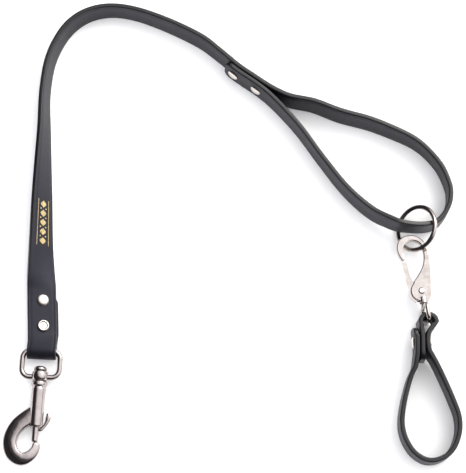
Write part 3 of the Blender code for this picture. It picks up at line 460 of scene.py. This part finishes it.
def makeStrap(name, frames):
    frames = roundTip(roundTip(frames)[::-1])[::-1]
    section = strapSection()
    edge = [abs(a) > strap["width"] / 2 - strap["edgeRound"] * 0.6 for a, b in section]
    bm = bmesh.new()
    uvLayer = bm.loops.layers.uv.new("UVMap")
    loops, lengths, gone = [], [], 0.0
    for i, (centre, across, normal) in enumerate(frames):
        gone += (centre - frames[i - 1][0]).length if i else 0
        lengths.append(gone)
        loops.append([bm.verts.new(base + centre + across * a + normal * b) for a, b in section])
    count = len(section)
    for i in range(len(loops) - 1):
        for k in range(count):
            j = (k + 1) % count
            face = bm.faces.new((loops[i][k], loops[i][j], loops[i + 1][j], loops[i + 1][k]))
            face.material_index = 1 if edge[k] and edge[j] else 0
            corners = ((k, i), (j, i), (j, i + 1), (k, i + 1))
            for corner, (column, row) in zip(face.loops, corners):
                corner[uvLayer].uv = (section[column][0] + section[column][1], lengths[row])
    for loop in (loops[0][::-1], loops[-1]):
        bm.faces.new(loop).material_index = 1
    return meshPiece(name, bm, [leatherette, edgePaint])


mainFrames, runFrames = mainStrapFrames()
mainStrap = makeStrap("longStrap", mainFrames)
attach(mainStrap, "leash")
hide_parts("main_strap")
print("long strap made,", len(mainStrap.data.polygons), "faces")


# the finger tab, folded round the clip's eye and riveted

tab = {
    "axisX": 0.1290, "rivetY": -0.0785, "tongueY": -0.0915, "endY": -0.0685,
    "straight": 4.7 * mm,         # flat stretch above and below the rivet
    "lift": 3.9 * mm,             # the riveted end stands this far off the floor
    "bightRadius": 3.8 * mm,      # inside of the fold round the clip's eye
}
clipPlace = (Matrix.Translation((0.1307, -0.0496, 0.0139)) @ Matrix.Rotation(math.radians(8), 4, "Z")
             @ Matrix.Rotation(math.radians(-4), 4, "X"))
clipLevel = clipPlace @ Matrix.Rotation(math.radians(4), 4, "X")
clipEye = {"wire": 1.6 * mm, "lead": 3.4 * mm, "length": 10.8 * mm, "inside": 20.6 * mm, "corner": 3 * mm}
tabLoop = [
    (0.1370, -0.0915, 0, tab["lift"] * 0.6), (0.1431, -0.1042, 0, tab["lift"] * 0.25), (0.1486, -0.1175, 0, 0.0003),
    (0.1523, -0.1285, 0, 0.0), (0.1526, -0.1384, 0, 0.0), (0.1498, -0.1478, 0, 0.0), (0.1456, -0.1538, 0, 0.0),
    (0.1396, -0.1577, 0, 0.0), (0.1326, -0.1590, 0, 0.0), (0.1260, -0.1569, 0, 0.0), (0.1199, -0.1514, 0, 0.0),
    (0.1152, -0.1420, 0, 0.0), (0.1140, -0.1320, 0, 0.0), (0.1160, -0.1185, 0, 0.0003),
    (0.1202, -0.1035, 0, tab["lift"] * 0.25), (0.1245, -0.0935, 0, tab["lift"] * 0.6)]


def tabFrames():
    bar = clipLevel @ Vector((0.0006, -clipEye["lead"] - clipEye["length"], 0))
    radius = tab["bightRadius"] + strap["thickness"] / 2
    centre = Vector((bar.x, bar.y - tab["bightRadius"] + clipEye["wire"] + 0.0003, 0))
    upper, lower = tab["rivetY"] + tab["straight"], tab["rivetY"] - tab["straight"]
    tongue = [(tab["axisX"], tab["tongueY"], 0, tab["lift"] * 0.8), (tab["axisX"], lower, 0, tab["lift"] * 0.95),
              (tab["axisX"], tab["rivetY"], 0, tab["lift"] * 0.98), (tab["axisX"], upper, 0, tab["lift"]),
              (tab["axisX"] - 0.0010, upper + 0.0035, 0, tab["lift"])]
    fold = []
    for k in range(9):
        angle = math.pi * (1 - k / 8)
        fold.append((centre.x + radius * math.cos(angle), centre.y + radius * math.sin(angle), 0, tab["lift"]))
    right = tab["axisX"] + strap["layerStep"]
    down = [(right + 0.0010, upper + 0.0035, 0, tab["lift"]), (right, upper, 0, tab["lift"]),
            (right, tab["rivetY"], 0, tab["lift"] * 0.98), (right, lower, 0, tab["lift"] * 0.95),
            (right + 0.0004, lower - 0.0025, 0, tab["lift"] * 0.9)]
    first = splinePoints(tongue + fold, 0.0012)
    firstFrames = uprightFrames(first)
    left = [(c - n * strap["layerStep"], a, n) for c, a, n in firstFrames
            if lower - 0.0015 <= c.y <= tab["endY"] and c.x < centre.x]
    meet = [(c.x, c.y, 0, c.z - strap["width"] / 2) for c, a, n in left[:3:2]]
    second = splinePoints([fold[-2], fold[-1]] + down + tabLoop + meet, strap["station"])
    skip = min(range(len(second)), key=lambda i: math.dist(second[i][:2], fold[-1][:2]))
    stop = min(range(len(second)), key=lambda i: math.dist(second[i][:2], meet[0][:2]))
    corners = [Vector((right + 0.0010, upper + 0.0035, 0)), Vector((right, lower, 0)), left[0][0]]
    return easeCorners(firstFrames + uprightFrames(second)[skip + 1:stop] + left, corners, 7 * mm, 8)


fingerTab = makeStrap("fingerTab", tabFrames())
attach(fingerTab, "tab")
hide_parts("tab_strap")
print("finger tab made")


# bolt snap: eye, stud, body with hook, plunger and thumb lever

snap = {
    "eyeWire": 1.9 * mm, "eyeHalf": 13.0 * mm, "eyeLength": 18.3 * mm, "eyeCorner": 5.5 * mm,
    "hubRadius": 5.7 * mm, "hubLength": 6.8 * mm, "stud": 2.7 * mm, "studHead": 4.6 * mm, "studHeadTall": 3.2 * mm,
    "collar": 5.5 * mm, "collarLength": 3.6 * mm, "barrel": 4.8 * mm, "barrelLength": 28 * mm,
    "plunger": 2.2 * mm, "plungerReach": 10.2 * mm, "travel": 9.0 * mm, "hookDepth": 3.2 * mm,
}
snapWorld = Matrix.Translation(base) @ snapPlace
hubTop = snap["eyeLength"] - snap["hubLength"] * 0.62
hubEnd = snap["eyeLength"] + snap["hubLength"] * 0.38
collarStart = hubEnd + 0.3 * mm
barrelEnd = collarStart + snap["collarLength"] + snap["barrelLength"]
axisTurn = Matrix.Rotation(math.radians(90), 4, "X")


def downAxis(distance):
    return Matrix.Translation((0, -distance, 0)) @ axisTurn


def roundedRectangle(half, length, radius, steps=14):
    points = []
    for sx, sy, start in ((1, -1, -90), (1, 0, 0), (-1, 0, 90), (-1, -1, 180)):
        cx = sx * (half - radius)
        cy = -radius if sy == 0 else -length + radius
        for k in range(steps + 1):
            angle = math.radians(start + 90 * k / steps)
            points.append((cx + radius * math.cos(angle), cy + radius * math.sin(angle)))
    return points


bm = bmesh.new()
outline = roundedRectangle(snap["eyeHalf"], snap["eyeLength"], snap["eyeCorner"])
sweepTube(bm, [Vector((x, y, 0)) for x, y in outline], snap["eyeWire"], 28, closed=True)
bore = snap["stud"] + 0.3 * mm
hubProfile = [(bore, 0), (snap["hubRadius"] * 0.86, 0), (snap["hubRadius"], snap["hubLength"] * 0.3),
              (snap["hubRadius"], snap["hubLength"] * 0.7), (snap["hubRadius"] * 0.86, snap["hubLength"]),
              (bore, snap["hubLength"])]
spinProfile(bm, roundedProfile(hubProfile, 1.2 * mm), downAxis(hubTop))
swivelEye = meshPiece("snapEye", bm, [castNickel], snapWorld, 60)
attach(swivelEye, "swivel_eye")
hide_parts("swivel_eye")

headTop = hubTop - 0.3 * mm - snap["studHeadTall"]
r, tall = snap["studHead"], snap["studHeadTall"]
studLength = collarStart + snap["collarLength"] + 2 * mm - headTop
bm = spinProfile(bmesh.new(), roundedProfile([
    (0, 0), (0.50 * r, 0.03 * tall), (0.85 * r, 0.25 * tall), (r, 0.62 * tall), (0.97 * r, tall),
    (snap["stud"], tall), (snap["stud"], studLength), (0, studLength)], 0.7 * mm))
stud = meshPiece("snapStud", bm, [castNickel], snapWorld @ downAxis(headTop), 60)
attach(stud, "snap_body")
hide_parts("swivel_stud")

hookLine = [
    (-0.0022, 0.0430, 0.0050), (-0.0066, 0.0464, 0.0053), (-0.0128, 0.0520, 0.0050), (-0.0165, 0.0590, 0.0046),
    (-0.0169, 0.0655, 0.0045), (-0.0142, 0.0717, 0.0045), (-0.0085, 0.0749, 0.0042), (-0.0028, 0.0728, 0.0036),
    (0.0008, 0.0682, 0.0029), (0.0014, 0.0640, 0.0024)]
length = barrelEnd - collarStart
plungerBore = snap["plunger"] + 0.3 * mm
bm = spinProfile(bmesh.new(), roundedProfile([
    (bore, 0), (snap["collar"] * 0.9, 0), (snap["collar"], 0.8 * mm),
    (snap["collar"], snap["collarLength"] - 0.7 * mm),
    (snap["collar"] - 0.6 * mm, snap["collarLength"]), (snap["barrel"] - 0.5 * mm, snap["collarLength"] + 0.3 * mm),
    (snap["barrel"], snap["collarLength"] + 1.6 * mm), (snap["barrel"], length - 1.0 * mm),
    (snap["barrel"] * 0.88, length), (plungerBore, length), (plungerBore, snap["collarLength"] + 3.5 * mm),
    (bore, snap["collarLength"] + 2.5 * mm)], 0.5 * mm))
barrel = meshPiece("snapBarrel", bm, [castNickel], snapWorld @ downAxis(collarStart), 50)
slotBox = bmesh.new()
slotReach = snap["travel"] + 1.6 * mm
bmesh.ops.create_cube(slotBox, size=1, matrix=Matrix.Translation((4.4 * mm, -barrelEnd + slotReach / 2 - 0.5 * mm, 0))
                      @ Matrix.Diagonal((8.8 * mm, slotReach + 1 * mm, 3 * mm, 1)))
slotCutter = meshPiece("slotCutter", slotBox, [], snapWorld)
cut = barrel.modifiers.new("slot", "BOOLEAN")
cut.operation, cut.solver, cut.object = "DIFFERENCE", "EXACT", slotCutter
soften = barrel.modifiers.new("slotEdge", "BEVEL")
soften.width, soften.segments, soften.limit_method, soften.angle_limit = 0.25 * mm, 2, "ANGLE", math.radians(55)
bpy.context.view_layer.update()
barrelMesh = bpy.data.meshes.new_from_object(barrel.evaluated_get(bpy.context.evaluated_depsgraph_get()))
barrel.modifiers.clear()
barrel.data = barrelMesh
bpy.data.objects.remove(slotCutter)
hookPoints = splinePoints(hookLine, 0.0006)
bm = sweepTube(bmesh.new(), [Vector((u, -d, 0)) for u, d, w in hookPoints], [w for u, d, w in hookPoints], 36,
               depth=snap["hookDepth"], ridge=0.58)
hook = meshPiece("snapHook", bm, [castNickel], snapWorld, 60)
for piece in (barrel, hook):
    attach(piece, "snap_body")
    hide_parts("snap_body")

plungerStart = barrelEnd - snap["travel"] - 3.5 * mm
plungerLength = barrelEnd + snap["plungerReach"] - plungerStart
r = snap["plunger"]
bm = spinProfile(bmesh.new(), roundedProfile([
    (0, 0), (0.85 * r, 0), (r, 0.4 * mm), (r, plungerLength - 1.0 * mm), (0.7 * r, plungerLength),
    (0, plungerLength)], 0.4 * mm), sides=40)
plunger = meshPiece("snapPlunger", bm, [castNickel], snapWorld @ downAxis(plungerStart), 60)
foot = barrelEnd + 1.6 * mm
leverLine = [(r + 0.3 * mm, -foot, 1.0 * mm), (r + 1.6 * mm, -foot + 0.3 * mm, 1.1 * mm),
             (snap["barrel"] + 1.2 * mm, -foot + 3.0 * mm, 1.1 * mm),
             (snap["barrel"] + 2.6 * mm, -foot + 5.8 * mm, 1.5 * mm),
             (snap["barrel"] + 3.2 * mm, -foot + 8.5 * mm, 1.9 * mm),
             (snap["barrel"] + 3.0 * mm, -foot + 11.2 * mm, 1.2 * mm)]
leverPoints = splinePoints(leverLine, 0.0005)
bm = sweepTube(bmesh.new(), [Vector((x, y, 0)) for x, y, w in leverPoints], [w for x, y, w in leverPoints], 28,
               depth=1.2 * mm)
lever = meshPiece("thumbLever", bm, [castNickel], snapWorld, 60)
for piece, node in ((plunger, "plunger"), (lever, "thumb_lever")):
    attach(piece, "plunger")
    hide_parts(node)
coil = {"wire": 0.28 * mm, "turns": 9, "radius": 1.82 * mm}
coilTop = collarStart + snap["collarLength"] + 4.08 * mm
coilEnd = plungerStart - 0.58 * mm
coilSteps = coil["turns"] * 24
coilPath = []
for i in range(coilSteps + 1):
    angle = 2 * math.pi * i / 24
    down = coilTop + (coilEnd - coilTop) * i / coilSteps
    coilPath.append(Vector((coil["radius"] * math.cos(angle), -down, coil["radius"] * math.sin(angle))))
plungerCoil = meshPiece("plungerCoil", sweepTube(bmesh.new(), coilPath, coil["wire"], 10, up=Vector((0, 1, 0))),
                        [springSteel], snapWorld, 60)
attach(plungerCoil, "snap_body")
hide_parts("plunger_spring")
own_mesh(plungerCoil)
print("bolt snap made")


# handle ring

ring = {
    "radius": 15.5 * mm, "wire": 1.6 * mm,
    "centre": (0.1278, 0.0026, 0.0128),
    "heading": 16.5, "tilt": -39, "pitch": -14,     # degrees
}
ringPlace = (Matrix.Translation(base + Vector(ring["centre"]))
             @ Matrix.Rotation(math.radians(ring["heading"]), 4, "Z")
             @ Matrix.Rotation(math.radians(ring["tilt"]), 4, "Y")
             @ Matrix.Rotation(math.radians(ring["pitch"]), 4, "X"))
bm = bmesh.new()
ringPath = [Vector((ring["radius"] * math.cos(a), ring["radius"] * math.sin(a), 0))
            for a in (2 * math.pi * k / 128 for k in range(128))]
sweepTube(bm, ringPath, ring["wire"], 28, closed=True)
handleRing = meshPiece("weldedRing", bm, [wireNickel], ringPlace, 60)
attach(handleRing, "handle_ring")
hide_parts("handle_ring")
print("ring made")


# spring clip: frame, gate, pin and springs stay as modelled, the eye is made finer

# the clip frame and gate get the brighter nickel, whose colour is a painted reflection
for nodeName, finish in (("clip_frame", clipNickelPaintedReflection), ("clip_gate", clipNickelPaintedReflection), ("gate_pin", drawnNickel),
                         ("gate_spring", springSteel)):
    node = cadNodes[nodeName]
    node.data.materials.clear()
    node.data.materials.append(finish)

clipLevelWorld = Matrix.Translation(base) @ clipLevel
bm = bmesh.new()
eyeOutline = roundedRectangle(clipEye["inside"] / 2 + clipEye["wire"], clipEye["length"], clipEye["corner"])
sweepTube(bm, [Vector((0.0006, y - clipEye["lead"], x)) for x, y in eyeOutline], clipEye["wire"], 24, closed=True,
          up=Vector((1, 0, 0)))
bossProfile = [(0, -0.8 * mm), (2.6 * mm, -0.8 * mm), (2.6 * mm, 1.9 * mm), (0, 1.9 * mm)]
spinProfile(bm, roundedProfile(bossProfile, 0.6 * mm),
            Matrix.Translation((0.0006, -clipEye["lead"], 0)) @ Matrix.Rotation(math.radians(-90), 4, "X"), 48)
spinProfile(bm, [(0, 0), (1.2 * mm, 0), (1.2 * mm, 4.4 * mm), (0, 4.4 * mm)],
            Matrix.Translation((0.0006, -clipEye["lead"], 0)) @ Matrix.Rotation(math.radians(-90), 4, "X"), 32)
# the clip's eye gets the same brighter nickel, whose colour is a painted reflection
squareEye = meshPiece("clipSquareEye", bm, [clipNickelPaintedReflection], clipLevelWorld, 60)
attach(squareEye, "clip_eye")
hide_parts("clip_eye")
print("clip made")


# rivets: stems stay as modelled, caps are turned finer

rivet = {"radius": 4.1 * mm, "height": 1.3 * mm}


def makeRivetCap(name, node, point, axis, domed, body):
    turn = axis.to_track_quat("Z", "Y").to_matrix().to_4x4()
    place = Matrix.Translation(base + point + axis * 0.3 * mm) @ turn
    r, tall = rivet["radius"], rivet["height"]
    inside = [(1.9 * mm, 0.9 * mm), (1.9 * mm, 0), (0.97 * r, 0)]
    if domed:
        outside = [(r, 0.12 * tall), (0.93 * r, 0.45 * tall), (0.7 * r, 0.82 * tall), (0.4 * r, 1.02 * tall),
                   (0, 1.08 * tall)]
    else:   # rolled rim round a shallow dish with a small dimple
        outside = [(r, 0.2 * tall), (0.97 * r, 0.75 * tall), (0.84 * r, 1.12 * tall), (0.68 * r, 1.05 * tall),
                   (0.58 * r, 0.72 * tall), (0.36 * r, 0.78 * tall), (0.16 * r, 0.9 * tall), (0, 0.84 * tall)]
    profile = [(0, 0.9 * mm)] + inside + outside
    cap = meshPiece(name, spinProfile(bmesh.new(), roundedProfile(profile, 0.45 * mm)), [drawnNickel], place, 70)
    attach(cap, body)
    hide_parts(node)


for end, y, domed in (("lower", snapRivetsY[0], False), ("upper", snapRivetsY[1], True)):
    centre, across, normal = nearestFrame(runFrames, 1, y)
    point = centre - across.normalized() * tailShift * 0.3 + normal.normalized() * strap["thickness"] / 2
    makeRivetCap("snapRivet" + end.title(), "snap_rivet_" + end + "_cap", point, normal.normalized(), domed, "leash")
jointFrames = [f for f in runFrames if f[0].x < gripJointX[1] + 0.01]
for end, x in (("upper", gripRivetsX[0]), ("lower", gripRivetsX[1])):
    centre, across, normal = nearestFrame(jointFrames, 0, x)
    point = centre + normal.normalized() * (strap["layerStep"] + strap["thickness"] / 2)
    makeRivetCap("gripRivet" + end.title(), "grip_rivet_" + end + "_cap", point, normal.normalized(), True, "leash")
reach = strap["layerStep"] + strap["thickness"] / 2 + 0.1 * mm
makeRivetCap("tabRivet", "tab_rivet_cap", Vector((tab["axisX"] - reach, tab["rivetY"], tab["lift"] + strap["width"] / 2)),
             Vector((-1, 0, 0)), True, "tab")
for nodeName in cadNodes:
    if nodeName.endswith("_stem"):
        cadNodes[nodeName].data.materials.clear()
        cadNodes[nodeName].data.materials.append(drawnNickel)
print("rivets made")


# foil ornament on the flat stretch by the snap: a plain chain of lozenges between two rules

foil = {"startY": -9 * mm, "endY": 24 * mm, "halfWidth": 5.2 * mm, "rise": 0.05 * mm, "links": 5}


def makeFoilOrnament():
    along = [f for f in runFrames if foil["startY"] - 0.002 < f[0].y < foil["endY"] + 0.002]

    def onStrap(share, across):
        want = foil["startY"] + (foil["endY"] - foil["startY"]) * share
        for before, after in zip(along, along[1:]):
            if before[0].y <= want <= after[0].y:
                t = (want - before[0].y) / max(after[0].y - before[0].y, 1e-9)
                centre, wide, normal = (p.lerp(q, t) for p, q in zip(before, after))
                height = strap["thickness"] / 2 + foil["rise"]
                return base + centre + wide.normalized() * across + normal.normalized() * height
        return base + along[-1][0]

    bm = bmesh.new()

    def strip(points, halfWidths):
        rows = []
        for (share, across), half in zip(points, halfWidths):
            rows.append((bm.verts.new(onStrap(share, across - half)), bm.verts.new(onStrap(share, across + half))))
        for a, b in zip(rows, rows[1:]):
            bm.faces.new((a[0], a[1], b[1], b[0]))

    for side in (-1, 1):
        strip([(k / 40, side * foil["halfWidth"]) for k in range(41)], [0.22 * mm] * 41)
    for link in range(foil["links"]):
        start, span = (link + 0.12) / foil["links"], 0.76 / foil["links"]
        strip([(start + span * k / 16, 0) for k in range(17)],
              [0.1 * mm + 2.6 * mm * math.sin(math.pi * k / 16) ** 1.4 for k in range(17)])
        for side in (-1, 1):
            centre = (link + 1.0) / foil["links"]
            if link < foil["links"] - 1:
                strip([(centre + 0.035 * (k / 8 - 0.5), side * 2.5 * mm) for k in range(9)],
                      [0.06 * mm + 0.62 * mm * math.sin(math.pi * k / 8) for k in range(9)])
    return meshPiece("foilOrnament", bm, [goldFoil])


ornament = makeFoilOrnament()
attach(ornament, "leash")
print("foil ornament made")


# floor, light and camera

floorMaterial, floorTree, floorShader = newMaterial("matteWhiteSweep")
floorCoords = addNode(floorTree, "ShaderNodeTexCoord").outputs["Object"]
floorNoise = addNode(floorTree, "ShaderNodeTexNoise", {"Scale": 6.0, "Detail": 2.0}, {"Vector": floorCoords})
floorColour = rampBetween(floorTree, floorNoise.outputs["Fac"], [
    (0.3, linearColour("#F4F4F4")), (0.7, linearColour("#F7F7F7"))])
floorTree.links.new(floorColour, floorShader.inputs["Base Color"])
floorShader.inputs["Roughness"].default_value = 0.9
bm = bmesh.new()
bmesh.ops.create_grid(bm, x_segments=1, y_segments=1, size=6)
floor = meshPiece("floor", bm, [floorMaterial])

world = bpy.data.worlds.new("softStudio")
bpy.context.scene.world = world
world.use_nodes = True
worldTree = world.node_tree
sky = worldTree.nodes["Background"]
direction = addNode(worldTree, "ShaderNodeTexCoord").outputs["Generated"]
towards = addNode(worldTree, "ShaderNodeVectorMath", {"operation": "DOT_PRODUCT"}, {})
worldTree.links.new(direction, towards.inputs[0])
towards.inputs[1].default_value = (0.55, 0.45, 0.70)
# pale tent over the back right, dark room behind it at the front left, so polished metal shows both
tent = rampBetween(worldTree, towards.outputs["Value"], [
    (0.0, (0.03, 0.028, 0.03, 1)), (0.18, (0.02, 0.02, 0.022, 1)), (0.48, (0.08, 0.075, 0.08, 1)),
    (0.62, (0.56, 0.55, 0.56, 1)), (0.82, (0.90, 0.89, 0.90, 1)), (1.0, (1.0, 1.0, 1.0, 1))])
worldTree.links.new(tent, sky.inputs["Color"])
sky.inputs["Strength"].default_value = 2.0


def addSoftbox(name, position, aim, size, power, tint="#FFFFFF", seenInMetal=True):
    light = bpy.data.lights.new(name, "AREA")
    light.shape, light.size, light.size_y = "RECTANGLE", size[0], size[1]
    light.energy = power
    light.color = linearColour(tint)[:3]
    lamp = bpy.data.objects.new(name, light)
    lamp.location = position
    lamp.visible_glossy = seenInMetal
    lamp.rotation_euler = (Vector(aim) - Vector(position)).to_track_quat("-Z", "Y").to_euler()
    bpy.context.scene.collection.objects.link(lamp)


addSoftbox("keySoftbox", (0.75, 0.75, 1.05), (0, 0, 0), (0.9, 0.9), 13.0, "#FFFBF6")
addSoftbox("fillSoftbox", (-1.0, 0.0, 0.8), (0, 0, 0), (1.2, 1.2), 10.0, "#F6F8FF", seenInMetal=False)
addSoftbox("frontSoftbox", (-0.2, -1.2, 0.8), (0, 0, 0), (1.4, 0.8), 7.0, seenInMetal=False)
addSoftbox("topSoftbox", (0.1, 0.0, 1.6), (0, 0, 0), (2.0, 2.0), 14.0, seenInMetal=False)

camera = bpy.data.objects.new("camera", bpy.data.cameras.new("camera"))
camera.data.sensor_width = 36
camera.data.sensor_fit = "AUTO"
camera.data.lens = 1626 / 473 * 36
camera.location = base + Vector((0, -0.277, 1.111))
camera.rotation_euler = (base - camera.location).to_track_quat("-Z", "Y").to_euler()
camera.data.clip_start = 0.05
bpy.context.scene.collection.objects.link(camera)
bpy.context.scene.camera = camera
bpy.context.scene.view_settings.view_transform = "Standard"

print("floor, lights and camera made")
